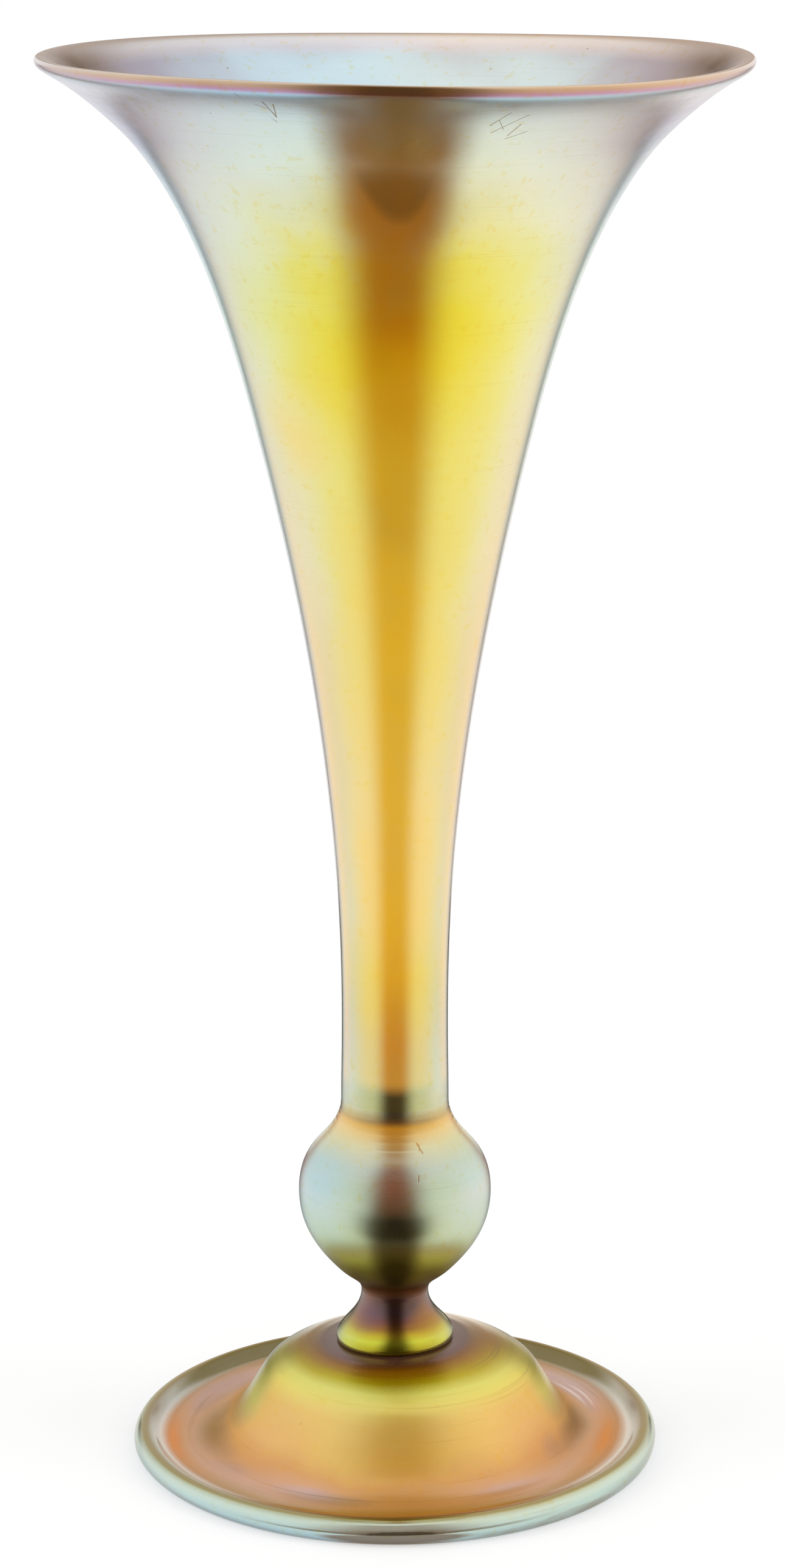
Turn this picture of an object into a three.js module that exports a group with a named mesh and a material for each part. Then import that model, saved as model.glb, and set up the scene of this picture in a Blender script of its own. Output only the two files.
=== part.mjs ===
// Footed vase of gold lustre glass: a thin trumpet bowl on a solid ball knop, a spool
// collar and a hollow domed foot with a rolled rim. Four gathers, fused end to end.
// Millimetres, +Z up. The origin is the centre of the standing ring, on the table.
import * as THREE from "three";

// Foot
const FOOT_RADIUS = 67.7; // outside of the rolled rim
const FOOT_RISE = 28.9; // table to the flat seat under the collar
const FOOT_WALL = 3.3; // glass of the dome and brim
const BRIM_WIDTH = 15.2; // from the bottom of the trough to the outside of the rim
const BRIM_CLEARANCE = 1.2; // air between the brim and the table
const RIM_ROLL_RADIUS = 3.3; // section of the rolled rim
const STANDING_WIDTH = 2.4; // ground flat that the foot stands on
const SEAT_LEDGE = 0.6; // seat that shows round the collar
const CROWN_WALL = 5; // glass between the seat and the hollow's ceiling
const PONTIL_RADIUS = 9; // polished dish where the working rod was
const PONTIL_DEPTH = 0.8;

// Collar
const COLLAR_RADIUS = 15.1; // its rounded lower edge
const COLLAR_HEIGHT = 13.3;
const COLLAR_EDGE_RISE = 1.1; // from the seat to the widest level
const COLLAR_UNDERCUT = 0.65; // how far the seat lies inside the edge
const WAIST_RADIUS = 8.6; // where collar and knop meet

// Ball knop
const KNOP_RADIUS = 24.6;
const KNOP_HEIGHT = 52;
const KNOP_EQUATOR_RISE = 27.2; // from the waist to the widest level
const NECK_RADIUS = 13.7; // where knop and bowl meet

// Trumpet bowl
const LIP_RADIUS = 86.6;
const BOWL_HEIGHT = 261.8; // neck joint to lip
const BOWL_WALL = 3.2;
const THROAT_RADIUS = 13.5;
const THROAT_RISE = 23.9; // neck joint to the narrowest level
const HOLLOW_FLOOR = 3.5; // glass under the rounded bottom of the hollow
const LIP_ROUND = 0.8; // fire-polished outer edge of the lip

// Angles of the outlines, from level
const TRUMPET_LEAN_DEGREES = 76; // wall at the middle of the trumpet
const FLARE_LEAN_DEGREES = 43; // wall where the trumpet turns out to the lip
const KNOP_FLANK_LEAN_DEGREES = 45.5; // knop just above the waist
const KNOP_SHOULDER_LEAN_DEGREES = 133; // knop just below the neck
const DOME_SLOPE_DEGREES = -54; // steepest part of the dome
const SEAT_SLOPE_DEGREES = -5; // dome where it leaves the seat
const EDGE_LEAN_DEGREES = 63; // under the collar's edge

// Places along the outlines, as shares of the way from one named size to the next
const TRUMPET_OUT_SHARE = 0.28;
const TRUMPET_UP_SHARE = 0.62;
const FLARE_OUT_SHARE = 0.732;
const FLARE_UP_SHARE = 0.93;
const KNOP_FLANK_OUT_SHARE = 0.4;
const KNOP_FLANK_UP_SHARE = 0.26;
const KNOP_SHOULDER_OUT_SHARE = 0.51;
const KNOP_SHOULDER_DOWN_SHARE = 0.455;
const DOME_OUT_SHARE = 0.54;
const DOME_UP_SHARE = 0.66;

// Arms at the two ends of each outline curve, as shares of the distance between its ends.
// A longer arm keeps its end's direction for longer.
const NECK_ARMS = [0.35, 0.6];
const TRUMPET_ARMS = [0.404, 0.266];
const FLARE_ARMS = [0.287, 0.306];
const UNDER_LIP_ARMS = [0.82, 0.127];
const INNER_LIP_ARMS = [0.2, 0.3];
const KNOP_BASE_ARMS = [0.33, 0.41];
const KNOP_LOWER_ARMS = [0.37, 0.38];
const KNOP_UPPER_ARMS = [0.48, 0.28];
const KNOP_TOP_ARMS = [0.33, 0.39];
const COLLAR_EDGE_ARMS = [0.5, 0.6];
const COLLAR_ARMS = [0.27, 0.45];
const CROWN_ARMS = [0.4, 0.22];
const SKIRT_ARMS = [0.36, 0.2];
const VAULT_ARMS = [0.42, 0.24];

// The rolled rim's section meets the brim at these angles round its centre
const ROLL_ABOVE_DEGREES = 140;
const ROLL_BELOW_DEGREES = 205;

const LUSTRE_METALNESS = 0.9; // the metal film on the glass

// Facets
const SEGMENTS_ROUND = 52;
const SHORT_STEPS = 3;
const CURVE_STEPS = 6;
const LONG_STEPS = 9;
const SAME_POINT = 0.001; // points of a profile closer than this are one

// Levels, from the table up
const collarLevel = FOOT_RISE;
const waistLevel = collarLevel + COLLAR_HEIGHT;
const neckLevel = waistLevel + KNOP_HEIGHT;
const lipLevel = neckLevel + BOWL_HEIGHT;
const collarSeatRadius = COLLAR_RADIUS - COLLAR_UNDERCUT;

// A knot is a point of an outline, with the way the outline runs there
function knot(radius, level, degrees) {
  const angle = THREE.MathUtils.degToRad(degrees);
  const run = new THREE.Vector2(Math.cos(angle), Math.sin(angle));
  return { at: new THREE.Vector2(radius, level), run };
}

function between(low, high, share) {
  return low + (high - low) * share;
}

// Smooth outline between two knots
function sweep(from, to, arms) {
  const span = from.at.distanceTo(to.at);
  const leaving = from.at.clone().addScaledVector(from.run, arms[0] * span);
  const arriving = to.at.clone().addScaledVector(to.run, -arms[1] * span);
  return new THREE.CubicBezierCurve(from.at, leaving, arriving, to.at);
}

// The outline on the other side of a wall, walked backwards
function innerSide(outline, wall, steps) {
  const points = [];
  for (let step = steps; step >= 0; step -= 1) {
    const along = outline.getTangent(step / steps);
    const inwards = new THREE.Vector2(-along.y, along.x);
    points.push(outline.getPoint(step / steps).addScaledVector(inwards, wall));
  }
  return points;
}

function arc(centre, radius, fromDegrees, toDegrees, steps) {
  const points = [];
  for (let step = 0; step <= steps; step += 1) {
    const angle = THREE.MathUtils.degToRad(between(fromDegrees, toDegrees, step / steps));
    const x = centre.x + radius * Math.cos(angle);
    points.push(new THREE.Vector2(x, centre.y + radius * Math.sin(angle)));
  }
  return points;
}

// A solid of revolution, from a profile that runs anticlockwise from the axis to the axis
function turned(name, profile, material) {
  const points = [];
  for (const point of profile) {
    const last = points[points.length - 1];
    if (!last || last.distanceTo(point) > SAME_POINT) {
      points.push(point);
    }
  }
  const geometry = new THREE.LatheGeometry(points, SEGMENTS_ROUND);
  geometry.rotateX(Math.PI / 2);
  const mesh = new THREE.Mesh(geometry, material);
  mesh.name = name;
  return mesh;
}

function onAxis(level) {
  return new THREE.Vector2(0, level);
}

function lustre(colour, roughness) {
  return new THREE.MeshStandardMaterial({ color: colour, roughness, metalness: LUSTRE_METALNESS });
}

function foot() {
  const troughLevel = BRIM_CLEARANCE + FOOT_WALL;
  const troughRadius = FOOT_RADIUS - BRIM_WIDTH;
  const seatRadius = collarSeatRadius + SEAT_LEDGE;
  const domeRadius = between(seatRadius, troughRadius, DOME_OUT_SHARE);
  const domeLevel = between(troughLevel, FOOT_RISE, DOME_UP_SHARE);

  // Top, from the seat to the trough
  const seatEdge = knot(seatRadius, FOOT_RISE, SEAT_SLOPE_DEGREES);
  const flank = knot(domeRadius, domeLevel, DOME_SLOPE_DEGREES);
  const trough = knot(troughRadius, troughLevel, 0);
  const crown = sweep(seatEdge, flank, CROWN_ARMS);
  const skirt = sweep(flank, trough, SKIRT_ARMS);

  // Rolled rim, cut flat where it stands
  const halfFlat = STANDING_WIDTH / 2;
  const rollLevel = Math.sqrt(RIM_ROLL_RADIUS ** 2 - halfFlat ** 2);
  const rollCentre = new THREE.Vector2(FOOT_RADIUS - RIM_ROLL_RADIUS, rollLevel);
  const flatDegrees = THREE.MathUtils.radToDeg(Math.asin(halfFlat / RIM_ROLL_RADIUS));
  const rollOutside = arc(rollCentre, RIM_ROLL_RADIUS, flatDegrees - 90, ROLL_ABOVE_DEGREES, LONG_STEPS);
  const flatInside = 270 - flatDegrees;
  const rollInside = arc(rollCentre, RIM_ROLL_RADIUS, ROLL_BELOW_DEGREES, flatInside, SHORT_STEPS);

  // Hollow underneath, from the polished dish to the rim
  const ceiling = FOOT_RISE - CROWN_WALL;
  const dishCurve = (PONTIL_RADIUS ** 2 + PONTIL_DEPTH ** 2) / (2 * PONTIL_DEPTH);
  const dishDegrees = THREE.MathUtils.radToDeg(Math.asin(PONTIL_RADIUS / dishCurve));
  const dishCentre = onAxis(ceiling + PONTIL_DEPTH - dishCurve);
  const dish = arc(dishCentre, dishCurve, 90, 90 - dishDegrees, SHORT_STEPS);
  const vaultStart = knot(PONTIL_RADIUS, ceiling, 0);
  const underFlank = innerSide(crown, -FOOT_WALL, 1)[0];
  const vaultEnd = knot(underFlank.x, underFlank.y, DOME_SLOPE_DEGREES);
  const underTrough = knot(troughRadius, BRIM_CLEARANCE, 0);
  const vault = sweep(vaultStart, vaultEnd, VAULT_ARMS);
  const underSkirt = sweep(vaultEnd, underTrough, SKIRT_ARMS);

  const profile = [
    ...dish,
    ...vault.getPoints(CURVE_STEPS),
    ...underSkirt.getPoints(CURVE_STEPS),
    ...rollInside,
    ...rollOutside,
    ...skirt.getPoints(CURVE_STEPS).reverse(),
    ...crown.getPoints(CURVE_STEPS).reverse(),
    onAxis(FOOT_RISE),
  ];
  return turned("foot", profile, lustre(0xc79a34, 0.3));
}

function stemCollar() {
  const seat = knot(collarSeatRadius, collarLevel, EDGE_LEAN_DEGREES);
  const edge = knot(COLLAR_RADIUS, collarLevel + COLLAR_EDGE_RISE, 90);
  const waist = knot(WAIST_RADIUS, waistLevel, 90);
  const profile = [
    onAxis(collarLevel),
    ...sweep(seat, edge, COLLAR_EDGE_ARMS).getPoints(SHORT_STEPS),
    ...sweep(edge, waist, COLLAR_ARMS).getPoints(CURVE_STEPS),
    onAxis(waistLevel),
  ];
  return turned("stem_collar", profile, lustre(0xb98a2c, 0.25));
}

function ballKnop() {
  const equatorLevel = waistLevel + KNOP_EQUATOR_RISE;
  const flankRadius = between(WAIST_RADIUS, KNOP_RADIUS, KNOP_FLANK_OUT_SHARE);
  const flankLevel = between(waistLevel, equatorLevel, KNOP_FLANK_UP_SHARE);
  const shoulderRadius = between(NECK_RADIUS, KNOP_RADIUS, KNOP_SHOULDER_OUT_SHARE);
  const shoulderLevel = between(neckLevel, equatorLevel, KNOP_SHOULDER_DOWN_SHARE);
  const waist = knot(WAIST_RADIUS, waistLevel, 90);
  const flank = knot(flankRadius, flankLevel, KNOP_FLANK_LEAN_DEGREES);
  const equator = knot(KNOP_RADIUS, equatorLevel, 90);
  const shoulder = knot(shoulderRadius, shoulderLevel, KNOP_SHOULDER_LEAN_DEGREES);
  const neck = knot(NECK_RADIUS, neckLevel, 90);
  const profile = [
    onAxis(waistLevel),
    ...sweep(waist, flank, KNOP_BASE_ARMS).getPoints(SHORT_STEPS),
    ...sweep(flank, equator, KNOP_LOWER_ARMS).getPoints(CURVE_STEPS),
    ...sweep(equator, shoulder, KNOP_UPPER_ARMS).getPoints(CURVE_STEPS),
    ...sweep(shoulder, neck, KNOP_TOP_ARMS).getPoints(SHORT_STEPS),
    onAxis(neckLevel),
  ];
  return turned("ball_knop", profile, lustre(0x9aa08c, 0.25));
}

function trumpetBowl() {
  const throatLevel = neckLevel + THROAT_RISE;
  const trumpetRadius = between(THROAT_RADIUS, LIP_RADIUS, TRUMPET_OUT_SHARE);
  const trumpetLevel = between(throatLevel, lipLevel, TRUMPET_UP_SHARE);
  const flareRadius = between(THROAT_RADIUS, LIP_RADIUS, FLARE_OUT_SHARE);
  const flareLevel = between(throatLevel, lipLevel, FLARE_UP_SHARE);

  // Outside, from the neck joint to the lip
  const neck = knot(NECK_RADIUS, neckLevel, 90);
  const throat = knot(THROAT_RADIUS, throatLevel, 90);
  const middle = knot(trumpetRadius, trumpetLevel, TRUMPET_LEAN_DEGREES);
  const flare = knot(flareRadius, flareLevel, FLARE_LEAN_DEGREES);
  const lip = knot(LIP_RADIUS, lipLevel - LIP_ROUND, 90);
  const stem = sweep(neck, throat, NECK_ARMS);
  const body = sweep(throat, middle, TRUMPET_ARMS);
  const shoulder = sweep(middle, flare, FLARE_ARMS);
  const underLip = sweep(flare, lip, UNDER_LIP_ARMS);
  const lipCentre = new THREE.Vector2(LIP_RADIUS - LIP_ROUND, lipLevel - LIP_ROUND);

  // Inside, from the lip to the rounded bottom of the hollow
  const boreRadius = THROAT_RADIUS - BOWL_WALL;
  const lipTop = knot(LIP_RADIUS - LIP_ROUND, lipLevel, 180);
  const innerShoulder = innerSide(shoulder, BOWL_WALL, CURVE_STEPS);
  const innerFlare = knot(innerShoulder[0].x, innerShoulder[0].y, 180 + FLARE_LEAN_DEGREES);
  const hollowCentre = onAxis(neckLevel + HOLLOW_FLOOR + boreRadius);

  const profile = [
    onAxis(neckLevel),
    ...stem.getPoints(SHORT_STEPS),
    ...body.getPoints(LONG_STEPS),
    ...shoulder.getPoints(CURVE_STEPS),
    ...underLip.getPoints(CURVE_STEPS),
    ...arc(lipCentre, LIP_ROUND, 0, 90, SHORT_STEPS),
    ...sweep(lipTop, innerFlare, INNER_LIP_ARMS).getPoints(CURVE_STEPS),
    ...innerShoulder,
    ...innerSide(body, BOWL_WALL, LONG_STEPS),
    ...arc(hollowCentre, boreRadius, 0, -90, CURVE_STEPS),
  ];
  return turned("trumpet_bowl", profile, lustre(0xd9c98a, 0.25));
}

const group = new THREE.Group();
group.add(foot());
group.add(stemCollar());
group.add(ballKnop());
group.add(trumpetBowl());

export default group;
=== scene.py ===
"""Footed trumpet vase of gold lustre glass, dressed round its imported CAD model.

Metres, +Z up. The origin is the centre of the standing ring, on the table, and -Y is the front.
Sizes are written in millimetres and turned into metres where a mesh is made.
"""
import math

import bpy
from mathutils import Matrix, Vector, noise


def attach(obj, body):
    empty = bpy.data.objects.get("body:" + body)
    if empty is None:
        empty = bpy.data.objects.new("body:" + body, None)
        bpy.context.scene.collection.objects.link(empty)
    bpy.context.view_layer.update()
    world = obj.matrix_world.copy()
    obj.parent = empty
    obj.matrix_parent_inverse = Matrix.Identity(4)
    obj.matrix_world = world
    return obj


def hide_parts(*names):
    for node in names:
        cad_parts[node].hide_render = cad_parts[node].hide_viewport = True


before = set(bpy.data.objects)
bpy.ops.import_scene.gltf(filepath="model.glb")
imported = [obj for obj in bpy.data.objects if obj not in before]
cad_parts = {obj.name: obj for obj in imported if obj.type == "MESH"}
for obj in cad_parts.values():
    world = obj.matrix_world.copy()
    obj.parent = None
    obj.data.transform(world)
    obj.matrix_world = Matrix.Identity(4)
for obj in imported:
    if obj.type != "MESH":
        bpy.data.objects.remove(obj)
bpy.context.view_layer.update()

MM = 0.001

# Levels of the joints between the gathers, from the table up
COLLAR_LEVEL = 28.9
WAIST_LEVEL = 42.2
NECK_LEVEL = 94.2
LIP_LEVEL = 356.0

# Foot
FOOT_RADIUS = 67.7
FOOT_WALL = 3.3
BRIM_WIDTH = 15.2  # from the bottom of the trough to the outside of the rim
BRIM_CLEARANCE = 1.2  # air between the brim and the table
ROLL_RADIUS = 3.3  # section of the rolled rim
ROLL_LEVEL = 3.1  # where the rolled rim is widest
HALF_STANDING_WIDTH = 1.2  # of the ground flat that the foot stands on
SEAT_LEDGE = 0.6  # seat that shows round the collar
CROWN_WALL = 5  # glass between the seat and the hollow's ceiling
PONTIL_RADIUS = 9  # polished dish where the working rod was
PONTIL_DEPTH = 0.8

# Collar
COLLAR_RADIUS = 15.1
COLLAR_EDGE_RISE = 1.1  # from the seat to the widest level
COLLAR_UNDERCUT = 0.65  # how far the seat lies inside the edge
WAIST_RADIUS = 8.6  # where collar and knop meet

# Ball knop
KNOP_RADIUS = 24.6
EQUATOR_RISE = 27.2  # from the waist to the widest level
NECK_RADIUS = 13.7  # where knop and bowl meet

# Trumpet bowl
LIP_RADIUS = 86.6
BOWL_WALL = 3.2
THROAT_RADIUS = 13.5
THROAT_RISE = 23.9  # from the neck to the narrowest level
HOLLOW_FLOOR = 3.5  # glass under the rounded bottom of the hollow
LIP_ROUND = 0.8  # fire-polished edge of the lip

# The way that the outlines run at their knots, in degrees from level
TRUMPET_LEAN = 76
FLARE_LEAN = 43
KNOP_FLANK_LEAN = 45.5
KNOP_SHOULDER_LEAN = 133
COLLAR_EDGE_LEAN = 63
SEAT_SLOPE = -5
DOME_SLOPE = -54
BRIM_UPTURN = 40
UPRIGHT = 90

# Degrees round the section of the rolled rim where it meets the brim, above and below
ROLL_ABOVE = 130
ROLL_BELOW = 205

# Knots as shares of the way outwards and upwards between two named places
TRUMPET_KNOT = (0.28, 0.62)
FLARE_KNOT = (0.732, 0.93)
KNOP_FLANK_KNOT = (0.4, 0.26)
KNOP_SHOULDER_KNOT = (0.51, 0.455)
DOME_KNOT = (0.54, 0.66)

# Arms at the two ends of each curve, as shares of the distance between them. A longer arm
# keeps its end's way for longer.
NECK_ARMS = (0.35, 0.6)
TRUMPET_ARMS = (0.404, 0.266)
FLARE_ARMS = (0.287, 0.306)
UNDER_LIP_ARMS = (0.82, 0.127)
INNER_LIP_ARMS = (0.2, 0.3)
KNOP_BASE_ARMS = (0.33, 0.41)
KNOP_LOWER_ARMS = (0.37, 0.38)
KNOP_UPPER_ARMS = (0.48, 0.28)
KNOP_TOP_ARMS = (0.33, 0.39)
COLLAR_EDGE_ARMS = (0.5, 0.6)
COLLAR_ARMS = (0.27, 0.45)
CROWN_ARMS = (0.4, 0.22)
SKIRT_ARMS = (0.36, 0.42)
UPTURN_ARMS = (0.5, 0.35)
VAULT_ARMS = (0.42, 0.24)

STEPS_ROUND = 144
SAME_POINT = 0.02  # points of an outline closer than this are one
SEAM_GAP = 0.002  # points this close are merged where a turned piece closes
SHARP_DEGREES = 40  # edges that turn more than this stay sharp

# Rings left by the tool: level or radius, half width and depth
KNOP_GROOVES = (
    (91.7, 0.35, 0.10), (90.2, 0.30, 0.07), (88.6, 0.30, 0.08), (86.9, 0.30, 0.05),
    (85.2, 0.25, 0.04),
)
FOOT_GROOVES = (
    (17.4, 0.9, 0.04), (19.4, 0.8, -0.04), (21.8, 1.0, 0.03), (24.4, 0.9, -0.03),
    (28.4, 1.2, 0.02),
)

# Hand shaping. Rise of the lip all round, as waves: (turns, cosine, sine), from the front to
# the right
LIP_WAVES = ((0, 0.5, 0.0), (1, -0.2, -0.3), (2, -0.38, -0.38), (3, 0.26, -0.24))
FOOT_LIFT = 0.65  # of the rim, at the right
COLLAR_TILT = 0.45  # rise of its edge at the right
DOME_SHIFT = 1.6  # of the dome's top, to the right
FLOW = 0.3  # slow waves in the bowl's wall
FLOW_SCALE = 0.022
FLOW_STRETCH = 0.6

# Levels (or radii, where a name ends in OUT) between which each of these grows or fades
LIP_GROWS = (318, LIP_LEVEL)
LIFT_GROWS, LIFT_FADES, LIFT_GROWS_OUT = (0.5, 4), (20, 30), (30, 60)
TILT_GROWS, TILT_FADES, TILT_FADES_OUT = (20, 27), (32, 44), (17, 34)
SHIFT_FADES, SHIFT_GROWS_OUT, SHIFT_FADES_OUT = (24, 30), (16, 30), (40, 58)
FLOW_GROWS = (100, 180)


# ---------------------------------------------------------------- outlines


def knot(radius, level, degrees):
    """A point of an outline, with the way the outline runs there."""
    angle = math.radians(degrees)
    return Vector((radius, level)), Vector((math.cos(angle), math.sin(angle)))


def knot_between(start, end, shares, degrees):
    """A knot at shares of the way outwards and upwards between two places."""
    radius = start[0] + (end[0] - start[0]) * shares[0]
    level = start[1] + (end[1] - start[1]) * shares[1]
    return knot(radius, level, degrees)


def sweep(start, end, arms, steps):
    """Points of the smooth line between two knots."""
    (a, leaving), (d, arriving) = start, end
    span = (d - a).length
    b = a + leaving * arms[0] * span
    c = d - arriving * arms[1] * span
    points = []
    for step in range(steps + 1):
        t = step / steps
        u = 1 - t
        points.append(a * u**3 + b * 3 * u * u * t + c * 3 * u * t * t + d * t**3)
    return points


def arc(centre, radius, start_degrees, end_degrees, steps):
    points = []
    for step in range(steps + 1):
        angle = math.radians(start_degrees + (end_degrees - start_degrees) * step / steps)
        out, up = radius * math.cos(angle), radius * math.sin(angle)
        points.append(Vector((centre[0] + out, centre[1] + up)))
    return points


def way_at(outline, index):
    """The way that an outline runs at one of its points."""
    before = outline[max(index - 1, 0)]
    after = outline[min(index + 1, len(outline) - 1)]
    return (after - before).normalized()


def inner_side(outline, wall):
    """The outline on the inner face of a wall, walked backwards."""
    points = []
    for index in range(len(outline) - 1, -1, -1):
        way = way_at(outline, index)
        points.append(outline[index] + Vector((-way.y, way.x)) * wall)
    return points


def grooved(outline, along, grooves):
    """Presses shallow rings into the outer side of an outline."""
    points = []
    for index, point in enumerate(outline):
        way = way_at(outline, index)
        inwards = Vector((-way.y, way.x)) if along == "level" else Vector((way.y, -way.x))
        at = point.y if along == "level" else point.x
        depth = sum(deep * math.exp(-(((at - mid) / wide) ** 2)) for mid, wide, deep in grooves)
        points.append(point + inwards * depth if point.x > 1 else point)
    return points


def on_axis(level):
    return Vector((0, level))


# ---------------------------------------------------------------- modelling


def spun(name, start, moves, steps, turn, seam_gap=None):
    """Draws a line from its start by its moves, and spins it round the axis."""
    bpy.ops.object.select_all(action="DESELECT")
    bpy.ops.mesh.primitive_plane_add(size=MM, location=start)
    piece = bpy.context.active_object
    piece.name = name
    bpy.ops.object.mode_set(mode="EDIT")
    bpy.ops.mesh.select_all(action="SELECT")
    bpy.ops.mesh.merge(type="CENTER")
    for move in moves:
        bpy.ops.mesh.extrude_region_move(TRANSFORM_OT_translate={"value": move})
    bpy.ops.mesh.select_all(action="SELECT")
    bpy.ops.mesh.spin(steps=steps, angle=turn, center=(0, 0, 0), axis=(0, 0, 1))
    bpy.ops.mesh.select_all(action="SELECT")
    if seam_gap:
        bpy.ops.mesh.remove_doubles(threshold=seam_gap)
    bpy.ops.mesh.normals_make_consistent(inside=False)
    bpy.ops.object.mode_set(mode="OBJECT")
    bpy.ops.object.transform_apply(location=True, rotation=True, scale=True)
    return piece


def turned(name, outline):
    """A piece of glass, from an outline that starts and ends on the axis."""
    points = [outline[0]]
    for point in outline[1:]:
        if (point - points[-1]).length > SAME_POINT:
            points.append(point)
    start = (points[0].x * MM, 0, points[0].y * MM)
    runs = [(there - here) * MM for here, there in zip(points, points[1:])]
    moves = [(run.x, 0, run.y) for run in runs]
    piece = spun(name, start, moves, STEPS_ROUND, math.tau, SEAM_GAP * MM)
    bpy.ops.object.shade_smooth_by_angle(angle=math.radians(SHARP_DEGREES))
    return piece


def grows(span, value):
    """0 before the span, 1 after it, and a soft change between."""
    low, high = span
    share = min(max((value - low) / (high - low), 0), 1)
    return share * share * (3 - 2 * share)


def fades(span, value):
    return 1 - grows(span, value)


def hand_shaped(point):
    """Where the hot glass really sits. All pieces share the warp, so that joints stay shut."""
    x, y, z = point / MM
    radius = math.hypot(x, y)
    angle = math.atan2(x, -y)
    lip = sum(c * math.cos(n * angle) + s * math.sin(n * angle) for n, c, s in LIP_WAVES)
    rise = lip * grows(LIP_GROWS, z)
    # The collar leans, and takes the seat of the foot with it
    near_collar = grows(TILT_GROWS, z) * fades(TILT_FADES, z) * fades(TILT_FADES_OUT, radius)
    rise += COLLAR_TILT * x / COLLAR_RADIUS * near_collar
    near_rim = grows(LIFT_GROWS, z) * fades(LIFT_FADES, z) * grows(LIFT_GROWS_OUT, radius)
    rise += FOOT_LIFT * x / FOOT_RADIUS * near_rim
    on_dome = grows(SHIFT_GROWS_OUT, radius) * fades(SHIFT_FADES_OUT, radius)
    shift = DOME_SHIFT * on_dome * fades(SHIFT_FADES, z)
    flow = noise.noise(Vector((x, y, z * FLOW_STRETCH)) * FLOW_SCALE) * grows(FLOW_GROWS, z) * FLOW
    if radius > 1:
        x += flow * x / radius
        y += flow * y / radius
    return Vector((x + shift, y, z + rise)) * MM


def settle(piece):
    """Keeps each point's drawn place for the finish, and moves the point to where it sits."""
    drawn = piece.data.attributes.new("drawn_place", "FLOAT_VECTOR", "POINT")
    for vertex, place in zip(piece.data.vertices, drawn.data):
        place.vector = vertex.co
        vertex.co = hand_shaped(vertex.co)
    piece.data.update()


def make_bowl():
    throat_level = NECK_LEVEL + THROAT_RISE
    throat_place, lip_place = (THROAT_RADIUS, throat_level), (LIP_RADIUS, LIP_LEVEL)
    neck = knot(NECK_RADIUS, NECK_LEVEL, UPRIGHT)
    throat = knot(THROAT_RADIUS, throat_level, UPRIGHT)
    middle = knot_between(throat_place, lip_place, TRUMPET_KNOT, TRUMPET_LEAN)
    flare = knot_between(throat_place, lip_place, FLARE_KNOT, FLARE_LEAN)
    lip = knot(LIP_RADIUS, LIP_LEVEL - LIP_ROUND, UPRIGHT)
    lip_centre = (LIP_RADIUS - LIP_ROUND, LIP_LEVEL - LIP_ROUND)
    lip_top = knot(LIP_RADIUS - LIP_ROUND, LIP_LEVEL, 2 * UPRIGHT)
    body = sweep(throat, middle, TRUMPET_ARMS, steps=36)
    shoulder = sweep(middle, flare, FLARE_ARMS, steps=24)
    inner_shoulder = inner_side(shoulder, BOWL_WALL)
    inner_flare = knot(*inner_shoulder[0], 2 * UPRIGHT + FLARE_LEAN)
    bore = THROAT_RADIUS - BOWL_WALL
    outline = [on_axis(NECK_LEVEL)]
    outline += sweep(neck, throat, NECK_ARMS, steps=10) + body + shoulder
    outline += sweep(flare, lip, UNDER_LIP_ARMS, steps=20)
    outline += arc(lip_centre, LIP_ROUND, 0, 90, steps=6)
    outline += sweep(lip_top, inner_flare, INNER_LIP_ARMS, steps=14)
    outline += inner_shoulder + inner_side(body, BOWL_WALL)
    outline += arc((0, NECK_LEVEL + HOLLOW_FLOOR + bore), bore, 0, -90, steps=12)
    return turned("lustre_bowl", outline), outline


def make_knop():
    equator_level = WAIST_LEVEL + EQUATOR_RISE
    widest = (KNOP_RADIUS, equator_level)
    waist = knot(WAIST_RADIUS, WAIST_LEVEL, UPRIGHT)
    flank = knot_between((WAIST_RADIUS, WAIST_LEVEL), widest, KNOP_FLANK_KNOT, KNOP_FLANK_LEAN)
    equator = knot(KNOP_RADIUS, equator_level, UPRIGHT)
    shoulder = knot_between(
        (NECK_RADIUS, NECK_LEVEL), widest, KNOP_SHOULDER_KNOT, KNOP_SHOULDER_LEAN
    )
    neck = knot(NECK_RADIUS, NECK_LEVEL, UPRIGHT)
    outline = [on_axis(WAIST_LEVEL)]
    outline += sweep(waist, flank, KNOP_BASE_ARMS, steps=12)
    outline += sweep(flank, equator, KNOP_LOWER_ARMS, steps=24)
    outline += sweep(equator, shoulder, KNOP_UPPER_ARMS, steps=30)
    outline += sweep(shoulder, neck, KNOP_TOP_ARMS, steps=50)
    outline = grooved(outline, "level", KNOP_GROOVES) + [on_axis(NECK_LEVEL)]
    return turned("lustre_knop", outline), outline


def make_collar():
    seat = knot(COLLAR_RADIUS - COLLAR_UNDERCUT, COLLAR_LEVEL, COLLAR_EDGE_LEAN)
    edge = knot(COLLAR_RADIUS, COLLAR_LEVEL + COLLAR_EDGE_RISE, UPRIGHT)
    waist = knot(WAIST_RADIUS, WAIST_LEVEL, UPRIGHT)
    outline = [on_axis(COLLAR_LEVEL)]
    outline += sweep(seat, edge, COLLAR_EDGE_ARMS, steps=8)
    outline += sweep(edge, waist, COLLAR_ARMS, steps=26)
    outline += [on_axis(WAIST_LEVEL)]
    return turned("lustre_collar", outline)


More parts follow.
